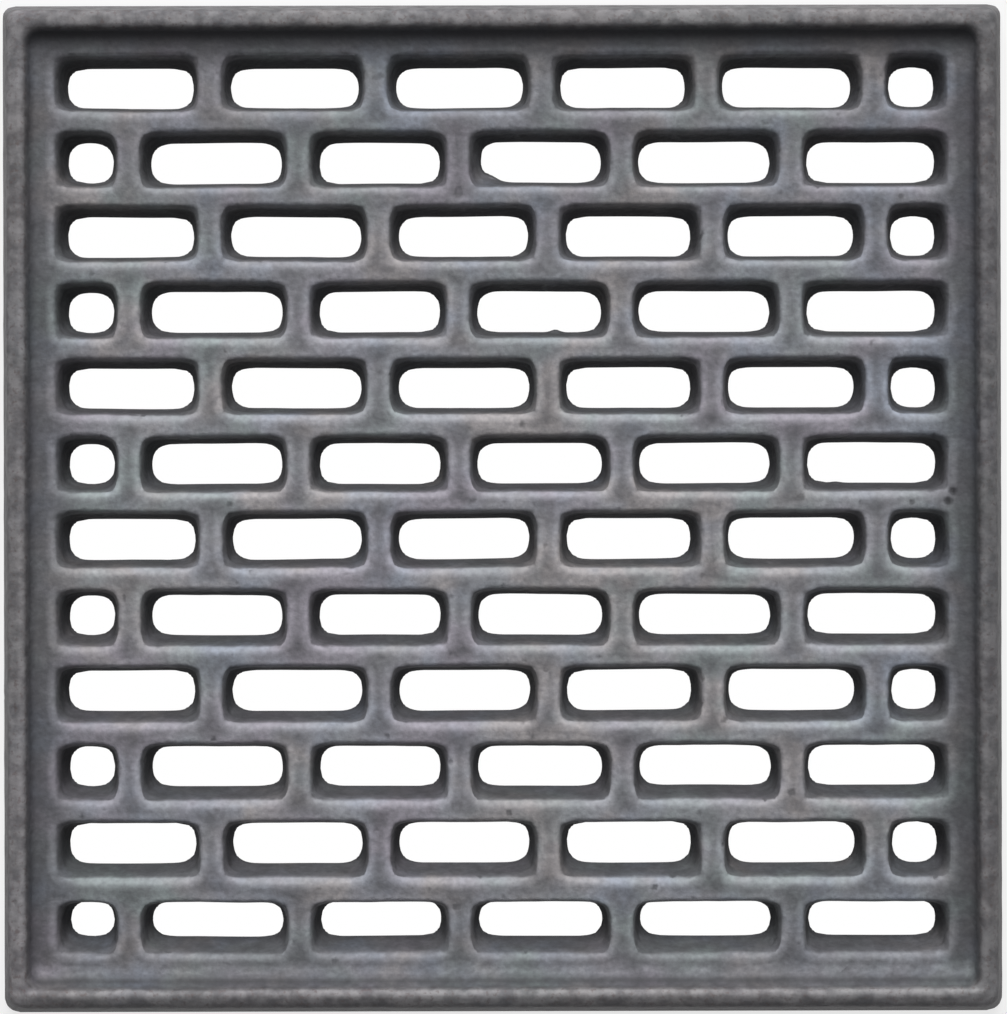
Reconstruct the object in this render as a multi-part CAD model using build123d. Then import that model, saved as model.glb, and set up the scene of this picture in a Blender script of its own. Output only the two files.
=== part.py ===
from build123d import *
import os
from math import atan2, cos, degrees, pi, sin, tan

# Wood stove grate, cast in iron as one piece: a slotted, nearly square plate inside a low raised rim.
# Millimetres, +Z up. The origin is the centre of the flat back, which lies on z = 0.
# The rim stands on the slotted face. X runs along the slots and Y across the rows.

# Outer form
LENGTH = 250.0              # along the slots, at the flat back
WIDTH = 252.0               # across the rows, at the flat back
CORNER_RADIUS = 3.8         # upright outer corners at -Y
FAR_CORNER_RADIUS = 2.8     # upright outer corners at +Y, which are cast sharper
PLATE_THICKNESS = 10.0      # flat back to slotted face
RIM_HEIGHT = 5.0            # rim above the slotted face
RIM_TOP_WIDTH = 3.9         # across the top of the rim, before its edges are rounded
OUTER_LEAN = 3.6            # each outer wall leans in by this much from the back to the rim's top
INNER_LEAN = 1.3            # each inner wall of the rim leans out by this much from foot to top
RECESS_CORNER_RADIUS = 3.5  # upright corners inside the rim

# Slots, measured at the flat back, where they are narrowest
SLOT_LENGTH = 31.6
SLOT_WIDTH = 9.8
NEAR_SLOT_WIDTH = 8.6       # the last row, at -Y, is cast narrower than the others
SLOT_CORNER_RADIUS = 3.6
RIB_BETWEEN_SLOTS = 9.6
RIB_BETWEEN_ROWS = 9.1
FIELD_OFFSET = 1.5          # the rows sit this much nearer the rim at +Y than the one at -Y

# Slot mouths, at the slotted face
MOUTH_FLARE = 2.2           # each slot wall leans out by this much from the back to the face
MOUTH_CORNER_RADIUS = 3.2
LEAST_LAND = 3.5            # flat face kept between the outermost mouths and the rim's foot

# Roundings that a sand mould leaves
SHOULDER_ROUND = 2.6        # outer edge of the rim's top
RIM_INNER_ROUND = 1.0       # inner edge of the rim's top
RIM_FOOT_FILLET = 2.0       # where the rim's inner wall meets the slotted face
LIP_ROUND = 2.0             # edges of the slot mouths

# A slot's round corners and lips are cut in flat steps, because there are so many of them
CORNER_STEPS = 4
LIP_STEPS = 3

# Sizes that follow from the above
total_height = PLATE_THICKNESS + RIM_HEIGHT
recess_length = LENGTH - 2 * OUTER_LEAN - 2 * RIM_TOP_WIDTH
recess_width = WIDTH - 2 * OUTER_LEAN - 2 * RIM_TOP_WIDTH
edge_to_slot = INNER_LEAN + LEAST_LAND + MOUTH_FLARE
slot_pitch = SLOT_LENGTH + RIB_BETWEEN_SLOTS
row_pitch = SLOT_WIDTH + RIB_BETWEEN_ROWS
half_slot_length = (SLOT_LENGTH - RIB_BETWEEN_SLOTS) / 2
slots_per_row = int((recess_length - 2 * edge_to_slot - half_slot_length) // slot_pitch)
row_count = int((recess_width - 2 * (edge_to_slot + FIELD_OFFSET) + RIB_BETWEEN_ROWS) // row_pitch)
row_length = slots_per_row * slot_pitch + half_slot_length


def upright_edges(block):
    """Edges of a block that run from its bottom to its top, in order from -Y to +Y."""
    height = block.bounding_box().size.Z
    tall_edges = block.edges().filter_by(lambda edge: edge.bounding_box().size.Z > height / 2)
    return tall_edges.sort_by(Axis.Y)


def leaning_block(length, width, lean, height, near_radius, far_radius):
    """A block on z = 0 whose four walls lean in, with upright corners rounded at -Y and at +Y."""
    block = extrude(Rectangle(length, width), amount=height, taper=degrees(atan2(lean, height)))
    block = fillet(upright_edges(block)[:2], near_radius)
    return fillet(upright_edges(block)[-2:], far_radius)


def blank():
    """The casting without its slots: a leaning block with a shallow recess inside the rim."""
    block = leaning_block(LENGTH, WIDTH, OUTER_LEAN, total_height, CORNER_RADIUS, FAR_CORNER_RADIUS)
    radius = RECESS_CORNER_RADIUS
    recess = leaning_block(recess_length, recess_width, INNER_LEAN, RIM_HEIGHT, radius, radius)
    casting = block - Pos(Z=total_height) * Rot(X=180) * recess
    rim_top = casting.faces().sort_by(Axis.Z)[-1]
    casting = fillet(rim_top.outer_wire().edges(), SHOULDER_ROUND)
    rim_top = casting.faces().sort_by(Axis.Z)[-1]
    casting = fillet(rim_top.inner_wires()[0].edges(), RIM_INNER_ROUND)
    return fillet(slotted_face(casting).outer_wire().edges(), RIM_FOOT_FILLET)


def slotted_face(casting):
    """The flat face inside the rim."""
    level_faces = casting.faces().filter_by(Plane.XY)
    return min(level_faces, key=lambda face: abs(face.center().Z - PLATE_THICKNESS))


def stepped_outline(length, width, radius, height):
    """Points of a rectangle at the given height, its round corners in flat steps on the arc."""
    step = pi / 2 / CORNER_STEPS
    reach = radius / cos(step / 2)
    points = []
    for quarter, (side_x, side_y) in enumerate([(1, 1), (-1, 1), (-1, -1), (1, -1)]):
        middle = Vector(side_x * (length / 2 - radius), side_y * (width / 2 - radius), height)
        for i in range(CORNER_STEPS):
            angle = quarter * pi / 2 + (i + 0.5) * step
            points.append(middle + Vector(cos(angle), sin(angle)) * reach)
    return points


def stepped_loft(outlines):
    """A closed solid through a stack of outlines, with one flat facet between matching edges."""
    facets = [Face(Wire.make_polygon(outline)) for outline in (outlines[0], outlines[-1])]
    for lower, upper in zip(outlines, outlines[1:]):
        for i in range(len(lower)):
            facets.append(Face(Wire.make_polygon([lower[i - 1], lower[i], upper[i], upper[i - 1]])))
    return Solid(Shell(facets))


def slot_core(length, width):
    """The sand core that leaves one slot: narrow at the back, wide at the mouth, with a round lip."""
    wall_lean = atan2(MOUTH_FLARE, PLATE_THICKNESS)
    lip_turn = pi / 2 - wall_lean
    step = lip_turn / LIP_STEPS
    reach = LIP_ROUND / cos(step / 2)
    outlines = [stepped_outline(length, width, SLOT_CORNER_RADIUS, 0)]
    for i in reversed(range(LIP_STEPS)):
        angle = (i + 0.5) * step
        spread = MOUTH_FLARE + LIP_ROUND * tan(lip_turn / 2) - reach * sin(angle)
        height = PLATE_THICKNESS - LIP_ROUND + reach * cos(angle)
        corner = MOUTH_CORNER_RADIUS + spread - MOUTH_FLARE
        outlines.append(stepped_outline(length + 2 * spread, width + 2 * spread, corner, height))
    return stepped_loft(outlines)


def slot_row(width):
    """One row of cores along X, full slots with a half slot at the +X end."""
    full_core = slot_core(SLOT_LENGTH, width)
    half_core = slot_core(half_slot_length, width)
    first_full = (SLOT_LENGTH - row_length) / 2
    half_place = (row_length - half_slot_length) / 2
    cores = [Pos(X=first_full + i * slot_pitch) * full_core for i in range(slots_per_row)]
    return cores + [Pos(X=half_place) * half_core]


def all_cores():
    """Rows from +Y to -Y, each turned end for end against the last, like bricks in a wall."""
    far_row = row_pitch * (row_count - 1) / 2 + FIELD_OFFSET
    cores = []
    for row in range(row_count):
        width = NEAR_SLOT_WIDTH if row == row_count - 1 else SLOT_WIDTH
        place = Pos(Y=far_row - row * row_pitch) * Rot(Z=180 * (row % 2))
        cores += [place * core for core in slot_row(width)]
    return cores


os.makedirs("parts", exist_ok=True)
grate = blank() - all_cores()
export_step(grate, "parts/grate.step")
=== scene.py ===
from math import cos, radians, sin

import bmesh
import bpy
import numpy as np
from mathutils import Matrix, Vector, noise


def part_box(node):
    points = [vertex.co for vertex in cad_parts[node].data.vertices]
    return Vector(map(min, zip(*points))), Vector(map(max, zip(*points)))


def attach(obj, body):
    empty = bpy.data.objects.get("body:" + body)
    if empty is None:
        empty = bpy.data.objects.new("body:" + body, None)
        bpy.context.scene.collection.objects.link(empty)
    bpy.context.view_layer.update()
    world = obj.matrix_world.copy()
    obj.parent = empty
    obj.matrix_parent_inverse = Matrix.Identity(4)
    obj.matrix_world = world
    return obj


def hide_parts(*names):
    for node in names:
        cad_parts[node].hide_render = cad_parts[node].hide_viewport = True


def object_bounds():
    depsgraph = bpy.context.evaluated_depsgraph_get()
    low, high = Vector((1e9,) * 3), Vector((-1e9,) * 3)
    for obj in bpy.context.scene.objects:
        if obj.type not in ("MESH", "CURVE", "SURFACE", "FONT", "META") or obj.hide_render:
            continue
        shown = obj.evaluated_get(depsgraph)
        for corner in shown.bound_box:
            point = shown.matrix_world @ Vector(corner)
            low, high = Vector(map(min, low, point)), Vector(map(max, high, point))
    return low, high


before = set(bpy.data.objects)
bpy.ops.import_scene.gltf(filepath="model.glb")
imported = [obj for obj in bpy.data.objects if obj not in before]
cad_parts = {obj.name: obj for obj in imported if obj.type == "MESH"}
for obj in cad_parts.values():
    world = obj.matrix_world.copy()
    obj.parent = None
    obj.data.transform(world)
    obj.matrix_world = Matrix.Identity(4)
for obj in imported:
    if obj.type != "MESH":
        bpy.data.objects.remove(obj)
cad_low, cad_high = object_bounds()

# A stove grate of cast iron, lying on its flat back, seen from straight above.
# Metres, in the frame of the imported model: the back on z = 0, X along the slots, Y across the rows.
# The imported solid gets a fine skin, which is softened, made uneven and worn, as sand and use leave iron,
# and its colour carries painted highlights and painted shade.

# Sizes of the imported model
MM = 0.001
node_low, node_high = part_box("grate")
RIM_HEIGHT = 5 * MM
FACE = node_high.z - RIM_HEIGHT     # height of the slotted face
RIM_FOOT = 8.8 * MM                 # from the outer edge at the back to the foot of the rim's inner wall
FOOT_X = node_high.x - RIM_FOOT
FOOT_Y = node_high.y - RIM_FOOT
FIELD_REACH = 116 * MM              # the slotted field ends before this distance from the middle
FIELD_FADE = 4 * MM                 # what shifts the slots fades out over this distance
RIB = 9.6 * MM                      # between the slots of a row
SLOT_PITCH = 41.2 * MM
HALF_SLOT = 11.0 * MM
SLOTS_PER_ROW = 5
ROW_LENGTH = SLOTS_PER_ROW * SLOT_PITCH + HALF_SLOT
ROW_PITCH = 18.9 * MM
ROW_COUNT = 12
FIELD_OFFSET = 1.5 * MM             # the rows sit this much nearer the rim at +Y than the one at -Y
FAR_ROW = ROW_PITCH * (ROW_COUNT - 1) / 2 + FIELD_OFFSET

# Skin
SKIN_STEP = 0.6 * MM                # size of the small quads that the skin starts from
WELD_GAP = 0.001 * MM
MOST_TRIANGLES = 190_000

# Smoothing, in rounds that each bring a point nearer to the mean of its neighbours
ROUND_SHARE = 0.5                   # the share of the way that a point goes in one round
CORNER_ROUNDS = 34                  # for the slots' stepped corners, near the back
MOUTH_ROUNDS = 50                   # for the same corners near the mouth, where they are rounder
CORNER_TOP = 0.4 * FACE             # between these heights the one number of rounds grows to the other
MOUTH_BOTTOM = 0.8 * FACE
LEVEL_SLOPE = 0.3                   # an edge that rises less than this share of its length counts as level
WALL_NORMAL = 0.9                   # a normal less upright than this belongs to a slot's wall or lip
SOFTENING_ROUNDS = 5                # for all edges
RIM_SOFTENING_ROUNDS = 12           # for the rim, which is softer than the rest
SOFT_RIM = FACE + 2 * MM            # height at which the softer rim starts
CRISP_HEIGHT = 2 * MM               # softening fades below this height, so the back keeps crisp edges
CRISP_SHARE = 0.15                  # share of the softening that is left at the back

# The pattern was made by hand: its ribs stand this far from even spacing, from -X to +X,
# and its rows this far, from +Y to -Y
RIB_SHIFTS = MM * np.array((-0.13, 0.34, 0.96, 0.38, -0.13))
TURNED_RIB_SHIFTS = MM * np.array((0.27, 1.05, -0.46, -1.4, -0.55))
FIRST_ROW_RIB_SHIFTS = MM * np.array((-0.2, -0.2, -0.35, -0.9, -0.7))
ROW_SHIFTS = MM * np.array((-0.2, -0.2, 0.4, 0.35, 0.35, 0.2, 0.45, 0.2, 0.35, 0.2, 0.0, -0.25))
RIB_HOLD = 0.6 * RIB                # a rib moves as one up to this far on both sides of its middle
CHANGE_START = 0.35                 # share of the way to the next row at which its shifts start to take over
CHANGE_END = 0.65                   # and at which they have done so
RIB_LEAN = 1.2 * MM                 # the last ribs at -Y lean that way by this much, from back to face
LEAN_START = 0.25 * FIELD_REACH     # the lean grows from none at this Y

# Casting flaws in the slot walls: place, reach, and how far the metal stands into the slot there
WALL_FLAWS = (
    (Vector((-5.4, 87.0)) * MM, 3.5 * MM, Vector((1.0, 0.0)) * MM),     # a thick end
    (Vector((-3.6, 82.0)) * MM, 2.6 * MM, Vector((0.7, 1.6)) * MM),     # a filled corner beside it
    (Vector((14.3, 44.1)) * MM, 1.1 * MM, Vector((0.0, 0.7)) * MM),     # a small bump
    (Vector((83.8, 6.2)) * MM, 1.1 * MM, Vector((0.0, 0.3)) * MM),      # another small bump
)
FLAW_HEIGHT = 7 * MM                # the flaws end at this height above the back
FLAW_FADE = 4 * MM                  # and fade out over this distance below it

# Two deep pits in the face, beside the rim
PITS = (Vector((111.6, 3.9)) * MM, Vector((110.3, 1.4)) * MM)
PIT_REACH = 0.55 * MM
PIT_DEPTH = 0.9 * MM
PIT_ZONE = FACE - 1 * MM            # only the skin above this height sinks into a pit

# Unevenness that a sand mould leaves
NOISE_SEED = Vector((41.7, 12.3, 7.9))
SWAY_X = 0.30 * MM                  # the slots wander by about this much along X
SWAY_Y = 0.25 * MM                  # and by this much along Y
SWAY_WAVE = 22 * MM
LUMP_HEIGHT = 0.12 * MM
LUMP_WAVE = 6 * MM
SMALL_PIT_DEPTH = 0.20 * MM
SMALL_PIT_WAVE = 2.6 * MM
SMALL_PIT_EDGE = 0.58               # a random value above this makes a small pit
SMALL_PIT_FLOOR = 0.78              # from this value on, the pit has its full depth
SMOOTH_BACK = 1.5 * MM              # lumps and small pits fade out below this height

# Wear and painted highlight: convex edges are rubbed bright, more where they face the lamp at +Y, and two
# narrow strips along the rim at -Y get a painted highlight
BULGE_ROUNDS = 10                   # rounds of averaging, to see how far a point stands out
FULL_BULGE = 0.22 * MM              # a point that stands out this far is brightened fully
FULL_UPWARD = 0.625                 # a normal that points up by this much or more takes the full brightening
CORNER_NORMAL = 0.25                # product of a normal's X and Y parts at a slot's corner
CORNER_GAIN = 0.8                   # painted highlight: slot corners that face the lamp at +Y are brightened more by this share
FACING = 2 / 3                      # a normal with this Y part counts as facing +Y
AWAY_LOSS = 0.2                     # painted highlight: edges that don't face the lamp at +Y are brightened less by this share
RIM_LOSS = 0.6                      # the rim is brightened less by this share
RIM_END_GAIN = 0.35                 # painted highlight: the rim's -Y end, whose inner edge faces the lamp, is spared this share of that loss
OUTER_LOSS = 0.4                    # the outermost slots are brightened less by this share
UPPER_RIM = (FACE + 1.5 * MM, FACE + 3.5 * MM)          # heights between which the upper rim begins
OUTER_RIM = (2 * MM, 3 * MM)        # distances beyond the rim's foot between which its outer part begins
OUTER_SLOTS_X = (100 * MM, 108 * MM)                    # where the outermost slots begin at the sides
NEAR_SLOTS_Y = (-95 * MM, -110 * MM)                    # where they begin at the -Y end
FAR_SLOTS_Y = (20 * MM, 110 * MM)                       # where they begin at the +Y end, more gradually
# painted highlight: strength of the two lit strips along the rim at -Y
STRIP_HIGHLIGHT = 0.8
FACE_STRIP = 2.9 * MM               # middle of the strip on the face, inwards from the rim's foot
FACE_STRIP_REACH = 2.4 * MM
FACE_STRIP_HEIGHT = 2 * MM          # it ends this far above and below the face
RIM_STRIP = 1.3 * MM                # middle of the strip on the rim, outwards from the rim's foot
RIM_STRIP_REACH = 1.4 * MM

# Soot and painted shade in the slots: the walls are darkened, less where they face the lamp
SOOT_SHADE_HEIGHTS = (FACE - 1 * MM, FACE - 4.2 * MM)         # none at the first, and full at the second
SOOT_SHADE_NORMALS = (0.9615, 0.1923)                         # height of the normal, likewise
LIT_NORMAL = 0.5                    # a wall with this Y part in its normal faces the light
LIT_LOSS = 0.15                     # such a wall gets this share less of the soot and painted shade
LIT_END_LOSS = 0.3                  # at the -Y end, such a wall loses this share as well
PIT_SHADE_HEIGHT = 0.5 * FACE        # the painted shade in a deep pit stays above this height

# Painted shade on the face along the rim's foot, where the rims shade it: its strength there, and how far in
# it reaches
LEFT_SHADE = (0.45, 5 * MM)
RIGHT_SHADE = (0.6, 9 * MM)
FAR_SHADE = (0.9, 10 * MM)
UNSHADED_END = 12 * MM                 # it fades out over this distance from the rim at -Y
SHADE_HEIGHTS = (FACE + 4 * MM, FACE + 2 * MM)          # none at the first, and full at the second
SHADE_BOTTOM = FACE - 0.7 * MM
SHADE_ON_RIM = 2 * MM               # it ends this far up the rim, seen from above
CORNER_SHADE = 0.5                  # a thin line of painted shade in the crease at the foot of the rim at -Y
CORNER_LINE = 0.5 * MM              # its middle, inwards from the rim's foot
CORNER_LINE_REACH = 0.9 * MM
CORNER_LINE_HEIGHTS = (FACE + 2 * MM, FACE + 1 * MM)    # none at the first, and full at the second
RIGHT_RIM_SHADE = 0.28              # painted shade: the rim at +X is evenly darker by this share
NEAR_RIM_SHADE = 0.4                # painted shade on the outer part of the rim at -Y, which faces away from the lamp
NEAR_RIM_PART = (1.8 * MM, 3.3 * MM)                    # distances beyond the rim's foot where that begins

# Colours of the iron
PURPLE_GREY = (0.207, 0.193, 0.222)
GREEN_GREY = (0.185, 0.211, 0.213)
BLUE_GREY = (0.181, 0.198, 0.234)
WARM_GREY = (0.216, 0.203, 0.205)
CLOUD_GREY = (0.090, 0.090, 0.098)
BLOTCH_GREY = (0.080, 0.080, 0.087)
SAND_GREY = (0.065, 0.065, 0.071)
DARK_RIM = (0.084, 0.080, 0.083)
PALE_RIM = (0.196, 0.189, 0.193)
RUST = (0.075, 0.050, 0.045)
# dark of the painted shade along and on the rim
PAINTED_SHADE_GREY = (0.030, 0.030, 0.034)
# dark of the soot and painted shade in the slots and pits
SOOT_AND_SHADE_GREY = (0.022, 0.022, 0.024)
BRIGHTENING_GAIN = (2.4, 2.4, 2.4)       # rubbed edges and painted highlights are this many times as bright

# How much of each shows
CLOUD_SHARE = 0.42
BLOTCH_SHARE = 0.52
SAND_SHARE = 0.45
RUST_SHARE = 0.6
RIM_SHARE = 0.75
SOOT_SHADE_SHARE = 0.86
KEPT_WHEN_BRIGHTENED = 0.35             # share of the clouds and blotches that rubbed and highlighted edges keep
WEAR_HIGHLIGHT_START = 0.12                   # marks of wear and painted highlight fainter than this don't show
WEAR_HIGHLIGHT_FULL = 0.9
RUST_START = 0.56                   # noise above this makes a speck of rust
RUST_FULL = 0.70

# Noise in the iron: waves in a metre and levels of finer detail, and for noise that makes patches
# also how far from its middle value they are fully dark or pale
TINT_NOISE = (28, 3, 0.10)
OTHER_TINT_NOISE = (45, 3, 0.10)
TINT_CHOICE_NOISE = (63, 2, 0.10)
CLOUD_NOISE = (60, 4, 0.15)
BLOTCH_NOISE = (260, 3, 0.14)
SAND_NOISE = (700, 4, 0.20)
RIM_NOISE = (300, 3, 0.14)
RUST_NOISE = (900, 2)
GRAIN_NOISE = (460, 6)

# Gloss and sand grain
GLOSS = 0.2
IRON_ROUGHNESS = 0.62
SOOT_ROUGHNESS = 1.0
GRAIN_STRENGTH = 0.8
GRAIN_DEPTH = 0.45 * MM

# Floor
PAPER = (0.80, 0.80, 0.80, 1.0)
FLOOR_HALF = 4.0
FLOOR_HEIGHT = -0.4 * MM
FLOOR_GLOW = 0.75
SLOT_SHEET_SHARE = 0.94             # size of the sheet under the slots, as a share of the grate's
SLOT_SHEET_HEIGHT = -0.2 * MM
SLOT_SHEET_GLOW = 1.0

# Light
KEY_ELEVATION = radians(47)
KEY_DISTANCE = 1.6
KEY_SIZE = 1.0
KEY_WATTS = 27.5
AMBIENT = 0.14
WHITE = (1.0, 1.0, 1.0, 1.0)

# Camera and picture
PICTURE_WIDTH = 1007
PICTURE_HEIGHT = 1014
CAMERA_HEIGHT = 0.724
FOCAL_PIXELS = 2890
CAMERA_X = 0.25 * MM
CAMERA_Y = 0.31 * MM
CAMERA_ROLL = radians(-0.12)
SENSOR = 36.0                       # millimetres


# Meshes and their points

def welded_copy(name, source):
    """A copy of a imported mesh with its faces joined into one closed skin."""
    mesh = source.data.copy()
    shape = bmesh.new()
    shape.from_mesh(mesh)
    bmesh.ops.remove_doubles(shape, verts=shape.verts, dist=WELD_GAP)
    shape.to_mesh(mesh)
    shape.free()
    piece = bpy.data.objects.new(name, mesh)
    bpy.context.scene.collection.objects.link(piece)
    return piece


def take_modified_mesh(piece):
    """Gives the piece the mesh that its modifiers make, and takes the modifiers away."""
    graph = bpy.context.evaluated_depsgraph_get()
    made = bpy.data.meshes.new_from_object(piece.evaluated_get(graph))
    piece.modifiers.clear()
    piece.data = made


def remesh(piece):
    """Covers the piece with an even skin of small quads."""
    skin = piece.modifiers.new("even_skin", "REMESH")
    skin.mode = "VOXEL"
    skin.voxel_size = SKIN_STEP
    take_modified_mesh(piece)


def thin_out(piece):
    """Merges faces where they matter least, until the piece is light enough."""
    triangles = sum(len(face.vertices) - 2 for face in piece.data.polygons)
    if triangles > MOST_TRIANGLES:
        thinner = piece.modifiers.new("fewer_faces", "DECIMATE")
        thinner.ratio = MOST_TRIANGLES / triangles
        take_modified_mesh(piece)


def vertex_array(mesh, layer):
    """Places or normals of the mesh's points, as rows of three numbers."""
    values = np.empty(len(mesh.vertices) * 3)
    mesh.vertices.foreach_get(layer, values)
    return values.reshape(-1, 3)


def edge_array(mesh):
    """The two point numbers of each edge."""
    values = np.empty(len(mesh.edges) * 2, dtype=int)
    mesh.edges.foreach_get("vertices", values)
    return values.reshape(-1, 2)


def set_points(mesh, points):
    mesh.vertices.foreach_set("co", points.ravel())
    mesh.update()


def add_point_values(mesh, name, values):
    layer = mesh.attributes.new(name, "FLOAT", "POINT")
    layer.data.foreach_set("value", np.ascontiguousarray(values, dtype=np.float32))


def keep_inside(points):
    """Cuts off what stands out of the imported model's box."""
    return np.clip(points, np.array(cad_low), np.array(cad_high))


def neighbour_mean(values, edges):
    """For each point, the mean over the points joined to it, or its own value if there are none."""
    start = np.concatenate((edges[:, 0], edges[:, 1]))
    end = np.concatenate((edges[:, 1], edges[:, 0]))
    count = np.bincount(start, minlength=len(values))
    columns = [np.bincount(start, values[end, i], minlength=len(values)) for i in range(values.shape[1])]
    means = np.stack(columns, axis=1) / np.maximum(count, 1)[:, None]
    return np.where(count[:, None] > 0, means, values)


# Shares from zero to one at each point

def ramp(values, start, end):
    """Zero at the start and before it, one at the end and beyond it. The end may be the lower value."""
    return np.clip((values - start) / (end - start), 0, 1)


def near_edge(gap, reach):
    """One at an edge and beyond it, falling to zero at the given reach before it."""
    return ramp(gap, reach, 0)


def closeness(points, place, reach):
    """One at a place in plan, falling smoothly to zero round it."""
    distance = np.linalg.norm(points[:, :2] - np.array(place), axis=1)
    return np.exp(-0.5 * (distance / reach) ** 2)


def field_share(points):
    """One in the slotted field, falling to zero at the foot of the rim."""
    reach = np.abs(points[:, :2]).max(axis=1)
    return ramp(reach, FIELD_REACH, FIELD_REACH - FIELD_FADE)


def towards_near_end(points):
    """Zero in the half at +Y, rising to one at the -Y end of the slotted field."""
    return ramp(points[:, 1], 0, -FIELD_REACH)


def outermost(points):
    """One at the slots next to the rim, falling to zero further in, most slowly from the +Y end."""
    at_sides = ramp(np.abs(points[:, 0]), *OUTER_SLOTS_X)
    at_ends = np.maximum(ramp(points[:, 1], *NEAR_SLOTS_Y), ramp(points[:, 1], *FAR_SLOTS_Y))
    return np.maximum(at_sides, at_ends)


def upper_rim(points):
    """One on the rim's top, falling to zero down its walls."""
    return ramp(points[:, 2], *UPPER_RIM)


def whole_rim(points):
    """One on the rim's top and its outer walls."""
    beyond_foot = np.maximum(np.abs(points[:, 0]) - FOOT_X, np.abs(points[:, 1]) - FOOT_Y)
    return np.maximum(upper_rim(points), ramp(beyond_foot, *OUTER_RIM))


# Shape of the casting

def round_slot_corners(mesh):
    """Bends the slots' stepped corners into curves, by evening out each wall along its level lines."""
    points = vertex_array(mesh, "co")
    normals = vertex_array(mesh, "normal")
    walls = (np.abs(normals[:, 2]) < WALL_NORMAL) & (field_share(points) > 0)
    edges = edge_array(mesh)
    runs = points[edges[:, 1]] - points[edges[:, 0]]
    level = np.abs(runs[:, 2]) < LEVEL_SLOPE * np.linalg.norm(runs, axis=1)
    level_edges = edges[level & walls[edges].all(axis=1)]
    rounds = np.interp(points[:, 2], (CORNER_TOP, MOUTH_BOTTOM), (CORNER_ROUNDS, MOUTH_ROUNDS))
    for number in range(MOUTH_ROUNDS):
        share = ROUND_SHARE * (number < rounds)
        points[:, :2] += share[:, None] * (neighbour_mean(points, level_edges) - points)[:, :2]
    set_points(mesh, points)


def soften(mesh):
    """Rounds the edges of the skin, apart from those at the back, and most of all those of the rim."""
    points = vertex_array(mesh, "co")
    edges = edge_array(mesh)
    share = ROUND_SHARE * np.clip(points[:, 2:] / CRISP_HEIGHT, CRISP_SHARE, 1)
    on_rim = points[:, 2:] > SOFT_RIM
    for number in range(RIM_SOFTENING_ROUNDS):
        taking_part = on_rim | (number < SOFTENING_ROUNDS)
        points += share * taking_part * (neighbour_mean(points, edges) - points)
    set_points(mesh, points)


def add_flaws(mesh):
    """Adds the lumps in the slot walls and the deep pits in the face."""
    points = vertex_array(mesh, "co")
    low = ramp(points[:, 2], FLAW_HEIGHT, FLAW_HEIGHT - FLAW_FADE)
    moves = np.zeros_like(points)
    for place, reach, move in WALL_FLAWS:
        moves[:, :2] += (low * closeness(points, place, reach))[:, None] * np.array(move)
    for place in PITS:
        moves[:, 2] -= PIT_DEPTH * (points[:, 2] > PIT_ZONE) * closeness(points, place, PIT_REACH)
    set_points(mesh, points + moves)


def shift_along_row(x, shifts, turned):
    """How far the ribs of one row stand from even spacing, spread over the slots between them."""
    ribs = SLOT_PITCH * np.arange(1, SLOTS_PER_ROW + 1) - RIB / 2 - ROW_LENGTH / 2
    if turned:
        ribs = -ribs[::-1]
    places = [node_low.x]
    moves = [0.0]
    for rib, shift in zip(ribs, shifts):
        places += [rib - RIB_HOLD, rib + RIB_HOLD]
        moves += [shift, shift]
    return np.interp(x, places + [node_high.x], moves + [0.0])


def move_ribs(mesh):
    """Shifts the ribs of each row along X, and each row along Y."""
    points = vertex_array(mesh, "co")
    row = np.clip((FAR_ROW - points[:, 1]) / ROW_PITCH, 0, ROW_COUNT - 1)
    upper_row = np.floor(row)
    change = ramp(row - upper_row, CHANGE_START, CHANGE_END)
    plain = shift_along_row(points[:, 0], RIB_SHIFTS, False)
    turned = shift_along_row(points[:, 0], TURNED_RIB_SHIFTS, True)
    first = shift_along_row(points[:, 0], FIRST_ROW_RIB_SHIFTS, False)
    upper = np.where(upper_row == 0, first, np.where(upper_row % 2 == 0, plain, turned))
    lower = np.where(upper_row % 2 == 0, turned, plain)
    inner = field_share(points)
    points[:, 0] += inner * (upper + change * (lower - upper))
    points[:, 1] += inner * np.interp(upper_row + change, range(ROW_COUNT), ROW_SHIFTS)
    set_points(mesh, points)


def lean_ribs(mesh):
    """Leans the ribs towards -Y, the more the nearer they are to that end."""
    points = vertex_array(mesh, "co")
    share = ramp(points[:, 1], LEAN_START, -FIELD_REACH) * field_share(points)
    points[:, 1] -= RIB_LEAN * share * ramp(points[:, 2], 0, FACE)
    set_points(mesh, points)


def unevenness(points, wavelength, pattern):
    """A smooth random value from about -1 to 1 at each point, from the pattern with the given number."""
    scaled = points / wavelength
    offset = NOISE_SEED * pattern
    return np.array([noise.noise(Vector(place) + offset) for place in scaled])


def roughen(mesh):
    """Pushes the skin about as a sand mould does: uneven slots, low lumps and small pits."""
    points = vertex_array(mesh, "co")
    normals = vertex_array(mesh, "normal")
    inner = field_share(points)
    above_back = ramp(points[:, 2], 0, SMOOTH_BACK)
    sway_x = SWAY_X * unevenness(points, SWAY_WAVE, pattern=1)
    sway_y = SWAY_Y * unevenness(points, SWAY_WAVE, pattern=2)
    lumps = LUMP_HEIGHT * unevenness(points, LUMP_WAVE, pattern=3)
    hollows = unevenness(points, SMALL_PIT_WAVE, pattern=5)
    pits = SMALL_PIT_DEPTH * ramp(hollows, SMALL_PIT_EDGE, SMALL_PIT_FLOOR)
    points[:, 0] += inner * sway_x
    points[:, 1] += inner * sway_y
    points += normals * (above_back * (lumps - pits))[:, None]
    set_points(mesh, keep_inside(points))


# Marks of use, and painted highlights and shade, on the casting, which its material shows

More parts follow.
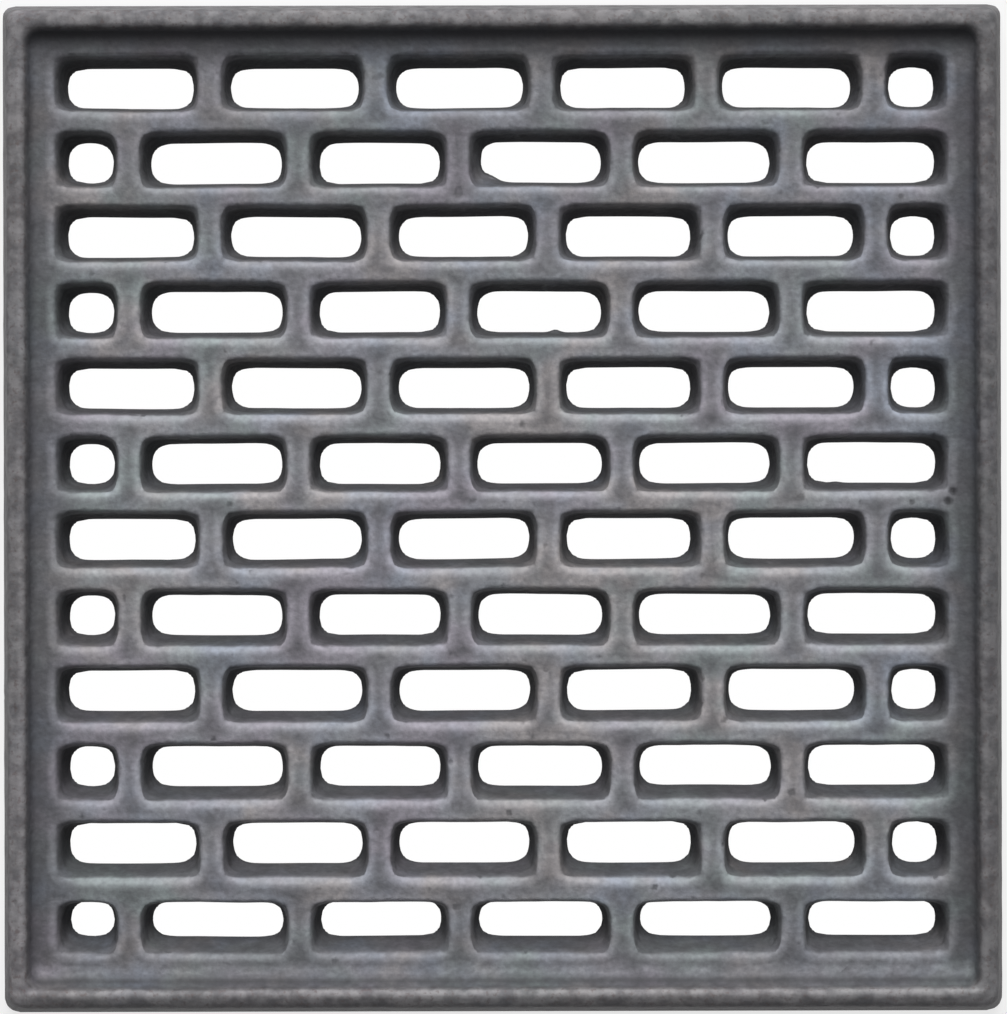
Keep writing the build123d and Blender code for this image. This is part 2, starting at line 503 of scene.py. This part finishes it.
def bulge(mesh):
    """How far each point stands out of its surroundings."""
    points = vertex_array(mesh, "co")
    edges = edge_array(mesh)
    surroundings = points
    for _ in range(BULGE_ROUNDS):
        surroundings = neighbour_mean(surroundings, edges)
    return np.einsum("ij,ij->i", points - surroundings, vertex_array(mesh, "normal"))


def highlight_strips(points):
    """The two narrow strips of painted highlight along the rim at -Y, one on the face and one on the rim."""
    near_gap = FOOT_Y + points[:, 1]
    on_face = near_edge(np.abs(points[:, 2] - FACE), FACE_STRIP_HEIGHT)
    face_strip = near_edge(np.abs(near_gap - FACE_STRIP), FACE_STRIP_REACH) * on_face
    rim_strip = near_edge(np.abs(near_gap + RIM_STRIP), RIM_STRIP_REACH) * upper_rim(points)
    return STRIP_HIGHLIGHT * np.maximum(face_strip, rim_strip)


def mark_wear_and_highlight(mesh):
    """Marks the rim, and the edges and strips that are brightened: rubbed edges, with painted highlights
    where they face the lamp.
    """
    points = vertex_array(mesh, "co")
    normals = vertex_array(mesh, "normal")
    rim = whole_rim(points)
    # painted highlight: the rim's inner edge at -Y, which faces the lamp, keeps more of its brightening
    kept_on_rim = 1 - RIM_LOSS * rim * (1 - RIM_END_GAIN * towards_near_end(points))
    kept_on_face = 1 - OUTER_LOSS * (1 - rim) * outermost(points)
    # painted highlight: edges and slot corners that face the lamp at +Y are brightened more
    kept_by_side = 1 - AWAY_LOSS * (1 - ramp(normals[:, 1], 0, FACING))
    slot_corners = ramp(np.abs(normals[:, 0]) * normals[:, 1], 0, CORNER_NORMAL)
    brightened = ramp(bulge(mesh) * (1 + CORNER_GAIN * slot_corners), 0, FULL_BULGE)
    brightened *= kept_by_side * kept_on_rim * kept_on_face
    upward = ramp(normals[:, 2], 0, FULL_UPWARD)
    add_point_values(mesh, "wear_and_highlight", upward * np.maximum(brightened, highlight_strips(points)))
    add_point_values(mesh, "rim", rim)


def mark_soot_and_shade(mesh):
    """Marks the slot walls with soot and painted shade, less where they face the lamp, and the deep pits
    with painted shade.
    """
    points = vertex_array(mesh, "co")
    normals = vertex_array(mesh, "normal")
    deep = ramp(points[:, 2], *SOOT_SHADE_HEIGHTS)
    steep = ramp(np.abs(normals[:, 2]), *SOOT_SHADE_NORMALS)
    # walls that face the lamp get less of the soot and painted shade
    lit_loss = ramp(normals[:, 1], 0, LIT_NORMAL) * (LIT_LOSS + LIT_END_LOSS * towards_near_end(points))
    soot_and_shade = deep * steep * (field_share(points) > 0) * (1 - lit_loss)
    # painted shade in the deep pits
    for place in PITS:
        in_pit = closeness(points, place, PIT_REACH) * (points[:, 2] > PIT_SHADE_HEIGHT)
        soot_and_shade = np.maximum(soot_and_shade, in_pit)
    add_point_values(mesh, "soot_and_shade", soot_and_shade)


def mark_painted_shade(mesh):
    """Marks painted shade on the face along the foot of the rim, and fainter painted shade on the rim
    itself.
    """
    points = vertex_array(mesh, "co")
    height = points[:, 2]
    left_gap = FOOT_X + points[:, 0]
    right_gap = FOOT_X - points[:, 0]
    near_gap = FOOT_Y + points[:, 1]
    far_gap = FOOT_Y - points[:, 1]

    along_rim = np.zeros(len(points))
    # painted shade on the face beside the rims at -X, +X and +Y, which shade it
    for gap, (strength, reach) in ((left_gap, LEFT_SHADE), (right_gap, RIGHT_SHADE), (far_gap, FAR_SHADE)):
        along_rim = np.maximum(along_rim, strength * near_edge(gap, reach))
    along_rim *= 1 - near_edge(near_gap, UNSHADED_END)
    # a thin line of painted shade in the crease at the foot of the rim at -Y
    corner_line = near_edge(np.abs(near_gap - CORNER_LINE), CORNER_LINE_REACH)
    in_corner = CORNER_SHADE * corner_line * ramp(height, *CORNER_LINE_HEIGHTS)
    inside_rim = np.min((left_gap, right_gap, near_gap, far_gap), axis=0) > -SHADE_ON_RIM
    low = ramp(height, *SHADE_HEIGHTS) * (height > SHADE_BOTTOM)
    on_face = inside_rim * low * np.maximum(along_rim, in_corner)

    # painted shade: the rim at +X is evenly darker
    right_rim = RIGHT_RIM_SHADE * (right_gap < 0)
    # painted shade on the outer part of the rim at -Y, which faces away from the lamp
    near_rim = NEAR_RIM_SHADE * ramp(-near_gap, *NEAR_RIM_PART)
    add_point_values(mesh, "painted_shade", np.maximum(on_face, np.maximum(right_rim, near_rim)))


# The casting

def make_casting():
    """The grate as it looks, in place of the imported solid."""
    piece = welded_copy("grate_casting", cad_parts["grate"])
    remesh(piece)
    round_slot_corners(piece.data)
    soften(piece.data)
    add_flaws(piece.data)
    move_ribs(piece.data)
    lean_ribs(piece.data)
    roughen(piece.data)
    mark_wear_and_highlight(piece.data)
    mark_soot_and_shade(piece.data)
    mark_painted_shade(piece.data)
    thin_out(piece)
    set_points(piece.data, keep_inside(vertex_array(piece.data, "co")))
    piece.data.shade_smooth()
    piece.data.materials.clear()
    piece.data.materials.append(cast_iron())
    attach(piece, "root")
    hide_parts("grate")


# Materials

class Nodes:
    """Short calls for building a node tree."""

    NOISE_MIDDLE = 0.5

    # Sockets of a mix node for colours, by number, because its other sockets have the same names
    MIX_SHARE = 0
    MIX_FIRST = 6
    MIX_SECOND = 7
    MIX_RESULT = 2

    def __init__(self, tree):
        self.tree = tree
        self.tree.nodes.clear()

    def add(self, kind, **settings):
        node = self.tree.nodes.new(kind)
        for name, value in settings.items():
            setattr(node, name, value)
        return node

    def link(self, source, target):
        self.tree.links.new(source, target)

    def attribute(self, name):
        return self.add("ShaderNodeAttribute", attribute_name=name).outputs["Fac"]

    def noise(self, place, scale, detail):
        node = self.add("ShaderNodeTexNoise")
        node.inputs["Scale"].default_value = scale
        node.inputs["Detail"].default_value = detail
        self.link(place, node.inputs["Vector"])
        return node.outputs["Fac"]

    def patches(self, place, scale, detail, reach):
        """Noise from zero to one, with the values that lie beyond the reach from its middle cut off."""
        low = self.NOISE_MIDDLE - reach
        high = self.NOISE_MIDDLE + reach
        return self.spread(self.noise(place, scale, detail), low, high)

    def spread(self, value, low, high, to_low=0.0, to_high=1.0):
        """Maps values from low to high onto a new range, and cuts off the rest."""
        node = self.add("ShaderNodeMapRange")
        limits = {"From Min": low, "From Max": high, "To Min": to_low, "To Max": to_high}
        for name, number in limits.items():
            node.inputs[name].default_value = number
        self.link(value, node.inputs["Value"])
        return node.outputs["Result"]

    def between(self, value, to_low, to_high):
        """Maps values from zero to one onto a new range."""
        return self.spread(value, 0.0, 1.0, to_low, to_high)

    def mix(self, share, first, second, blend="MIX"):
        """Mixes two colours; each is a socket or three numbers."""
        node = self.add("ShaderNodeMix", data_type="RGBA", blend_type=blend)
        for colour, number in ((first, self.MIX_FIRST), (second, self.MIX_SECOND)):
            socket = node.inputs[number]
            if isinstance(colour, tuple):
                socket.default_value = (*colour, 1.0)
            else:
                self.link(colour, socket)
        self.link(share, node.inputs[self.MIX_SHARE])
        return node.outputs[self.MIX_RESULT]

    def calculate(self, operation, first, second):
        """One step of arithmetic on two values; each is a socket or a number."""
        node = self.add("ShaderNodeMath", operation=operation)
        for value, socket in ((first, node.inputs[0]), (second, node.inputs[1])):
            if isinstance(value, float):
                socket.default_value = value
            else:
                self.link(value, socket)
        return node.outputs[0]


def iron_colour(nodes, place, wear_and_highlight):
    """Faint tints in broad patches, with dark clouds, blotches and sand grains."""
    first_pair = nodes.mix(nodes.patches(place, *TINT_NOISE), PURPLE_GREY, GREEN_GREY)
    second_pair = nodes.mix(nodes.patches(place, *OTHER_TINT_NOISE), BLUE_GREY, WARM_GREY)
    colour = nodes.mix(nodes.patches(place, *TINT_CHOICE_NOISE), first_pair, second_pair)

    kept = nodes.between(wear_and_highlight, 1.0, KEPT_WHEN_BRIGHTENED)
    clouds = nodes.between(nodes.patches(place, *CLOUD_NOISE), CLOUD_SHARE, 0.0)
    blotches = nodes.between(nodes.patches(place, *BLOTCH_NOISE), BLOTCH_SHARE, 0.0)
    sand = nodes.between(nodes.patches(place, *SAND_NOISE), SAND_SHARE, 0.0)
    colour = nodes.mix(nodes.calculate("MULTIPLY", kept, clouds), colour, CLOUD_GREY)
    colour = nodes.mix(nodes.calculate("MULTIPLY", kept, blotches), colour, BLOTCH_GREY)
    return nodes.mix(sand, colour, SAND_GREY)


def rim_colour(nodes, place):
    """The rim is browner than the rest, with specks of rust."""
    colour = nodes.mix(nodes.patches(place, *RIM_NOISE), DARK_RIM, PALE_RIM)
    specks = nodes.spread(nodes.noise(place, *RUST_NOISE), RUST_START, RUST_FULL, 0.0, RUST_SHARE)
    return nodes.mix(specks, colour, RUST)


def sand_grain(nodes, place):
    """The fine grain of a sand casting."""
    bump = nodes.add("ShaderNodeBump")
    bump.inputs["Strength"].default_value = GRAIN_STRENGTH
    bump.inputs["Distance"].default_value = GRAIN_DEPTH
    nodes.link(nodes.noise(place, *GRAIN_NOISE), bump.inputs["Height"])
    return bump.outputs["Normal"]


def cast_iron():
    """Grey iron with a sandy skin, a browner rim, edges brightened by wear and painted highlights, painted
    shade along the rim, and soot with painted shade in the slots.
    """
    material = bpy.data.materials.new("cast_iron")
    material.use_nodes = True
    nodes = Nodes(material.node_tree)
    place = nodes.add("ShaderNodeTexCoord").outputs["Object"]
    wear_and_highlight = nodes.spread(nodes.attribute("wear_and_highlight"), WEAR_HIGHLIGHT_START, WEAR_HIGHLIGHT_FULL)
    rim = nodes.between(nodes.attribute("rim"), 0.0, RIM_SHARE)
    soot_and_shade = nodes.attribute("soot_and_shade")

    colour = nodes.mix(rim, iron_colour(nodes, place, wear_and_highlight), rim_colour(nodes, place))
    # rubbed edges, and painted highlights where edges face the lamp, are made brighter
    colour = nodes.mix(wear_and_highlight, colour, BRIGHTENING_GAIN, blend="MULTIPLY")
    # painted shade along and on the rim
    colour = nodes.mix(nodes.attribute("painted_shade"), colour, PAINTED_SHADE_GREY)
    # soot and painted shade in the slots and pits
    colour = nodes.mix(nodes.between(soot_and_shade, 0.0, SOOT_SHADE_SHARE), colour, SOOT_AND_SHADE_GREY)

    surface = nodes.add("ShaderNodeBsdfPrincipled")
    surface.inputs["Metallic"].default_value = 0.0
    surface.inputs["Specular IOR Level"].default_value = GLOSS
    nodes.link(colour, surface.inputs["Base Color"])
    nodes.link(nodes.between(soot_and_shade, IRON_ROUGHNESS, SOOT_ROUGHNESS), surface.inputs["Roughness"])
    nodes.link(sand_grain(nodes, place), surface.inputs["Normal"])
    nodes.link(surface.outputs["BSDF"], nodes.add("ShaderNodeOutputMaterial").inputs["Surface"])
    return material


def seen_rays(nodes):
    """One for rays that show a background: straight to the camera, mirrored or through glass."""
    path = nodes.add("ShaderNodeLightPath")
    seen = path.outputs["Is Camera Ray"]
    for name in ("Is Glossy Ray", "Is Transmission Ray"):
        seen = nodes.calculate("MAXIMUM", seen, path.outputs[name])
    return seen


def white_paper(name, glow):
    """Pale floor that shows as white; the glow is the share of its white that no shadow dims."""
    material = bpy.data.materials.new(name)
    material.use_nodes = True
    nodes = Nodes(material.node_tree)
    matt = nodes.add("ShaderNodeBsdfDiffuse")
    matt.inputs["Color"].default_value = PAPER
    white = nodes.add("ShaderNodeEmission")
    blend = nodes.add("ShaderNodeMixShader")
    nodes.link(nodes.calculate("MULTIPLY", seen_rays(nodes), glow), blend.inputs[0])
    nodes.link(matt.outputs["BSDF"], blend.inputs[1])
    nodes.link(white.outputs["Emission"], blend.inputs[2])
    nodes.link(blend.outputs["Shader"], nodes.add("ShaderNodeOutputMaterial").inputs["Surface"])
    return material


# Setting: floor, light and camera

def level_sheet(name, half_x, half_y, height, material):
    """A flat rectangle around the origin that belongs to the setting."""
    corners = [(x * half_x, y * half_y, height) for x, y in ((-1, -1), (1, -1), (1, 1), (-1, 1))]
    mesh = bpy.data.meshes.new(name)
    mesh.from_pydata(corners, [], [(0, 1, 2, 3)])
    mesh.materials.append(material)
    sheet = bpy.data.objects.new(name, mesh)
    bpy.context.scene.collection.objects.link(sheet)


def make_floor():
    """A wide floor that takes the shadow, and a sheet that shows pure white through the slots."""
    floor_paper = white_paper("floor_paper", FLOOR_GLOW)
    level_sheet("floor", FLOOR_HALF, FLOOR_HALF, FLOOR_HEIGHT, floor_paper)
    slot_paper = white_paper("slot_paper", SLOT_SHEET_GLOW)
    half_x = SLOT_SHEET_SHARE * node_high.x
    half_y = SLOT_SHEET_SHARE * node_high.y
    level_sheet("floor_under_slots", half_x, half_y, SLOT_SHEET_HEIGHT, slot_paper)


def make_light():
    """One broad soft lamp from the +Y side, and even light from all round."""
    lamp = bpy.data.lights.new("key", "AREA")
    lamp.shape = "SQUARE"
    lamp.size = KEY_SIZE
    lamp.energy = KEY_WATTS
    key = bpy.data.objects.new("key", lamp)
    key.location = KEY_DISTANCE * Vector((0, cos(KEY_ELEVATION), sin(KEY_ELEVATION)))
    key.rotation_mode = "QUATERNION"
    key.rotation_quaternion = (-key.location).to_track_quat("-Z", "Y")
    bpy.context.scene.collection.objects.link(key)

    world = bpy.data.worlds.new("studio")
    world.use_nodes = True
    nodes = Nodes(world.node_tree)
    background = nodes.add("ShaderNodeBackground")
    background.inputs["Color"].default_value = WHITE
    nodes.link(nodes.between(seen_rays(nodes), AMBIENT, 1.0), background.inputs["Strength"])
    nodes.link(background.outputs["Background"], nodes.add("ShaderNodeOutputWorld").inputs["Surface"])
    bpy.context.scene.world = world


def make_camera():
    """Looks straight down, with +Y at the top of the picture."""
    data = bpy.data.cameras.new("camera")
    data.sensor_width = SENSOR
    data.lens = FOCAL_PIXELS / max(PICTURE_WIDTH, PICTURE_HEIGHT) * SENSOR
    camera = bpy.data.objects.new("camera", data)
    camera.location = (CAMERA_X, CAMERA_Y, CAMERA_HEIGHT)
    camera.rotation_euler.z = CAMERA_ROLL
    bpy.context.scene.collection.objects.link(camera)
    bpy.context.scene.camera = camera


make_casting()
make_floor()
make_light()
make_camera()
bpy.context.scene.view_settings.view_transform = "Standard"
